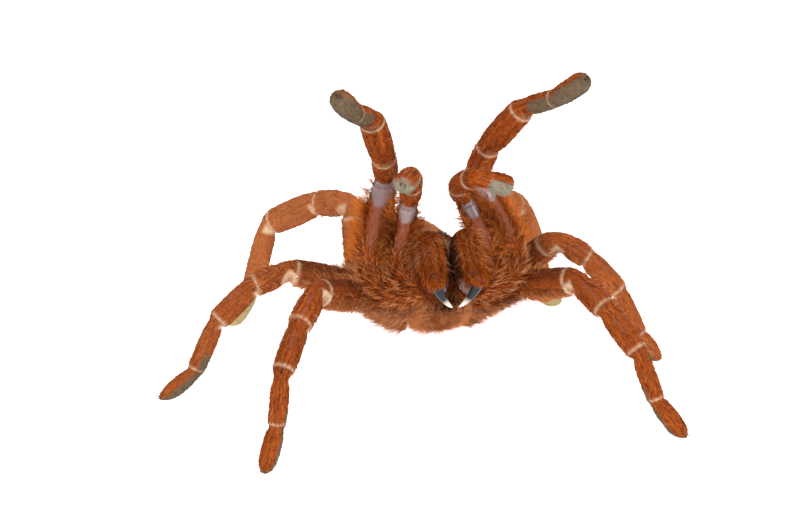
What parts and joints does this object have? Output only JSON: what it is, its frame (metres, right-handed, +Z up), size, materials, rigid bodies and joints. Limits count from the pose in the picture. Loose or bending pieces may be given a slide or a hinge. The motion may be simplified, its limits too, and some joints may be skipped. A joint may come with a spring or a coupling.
{
  "type": "tarantula specimen",
  "caption": "Dried rust-orange tarantula set in its rearing threat posture, front legs and palps raised, fangs open, standing free on its hind feet.",
  "frame": {"origin": "middle of the box round the whole spider, on the floor that its feet stand on", "axes": "+X to the spider's own left, +Y to its rear (it faces -Y), +Z up"},
  "size_m": [0.1154, 0.0934, 0.0799],
  "materials": {
    "velvet": "hard skin under a dense rust-orange velvet of hair",
    "abdomen_velvet": "soft skin under longer, browner hair",
    "fang": "polished blue-black horn with ivory tips"
  },
  "bodies": {
    "root": {"abdomen": "abdomen_velvet", "carapace": "velvet", "chelicera_left": "velvet", "chelicera_right": "velvet", "fang_left": "fang", "fang_right": "fang", "leg_1_left": "velvet", "leg_1_right": "velvet", "leg_2_left": "velvet", "leg_2_right": "velvet", "leg_3_left": "velvet", "leg_3_right": "velvet", "leg_4_left": "velvet", "leg_4_right": "velvet", "pedipalp_left": "velvet", "pedipalp_right": "velvet", "spinneret_left": "velvet", "spinneret_right": "velvet", "sternum": "velvet"}
  },
  "joints": []
}
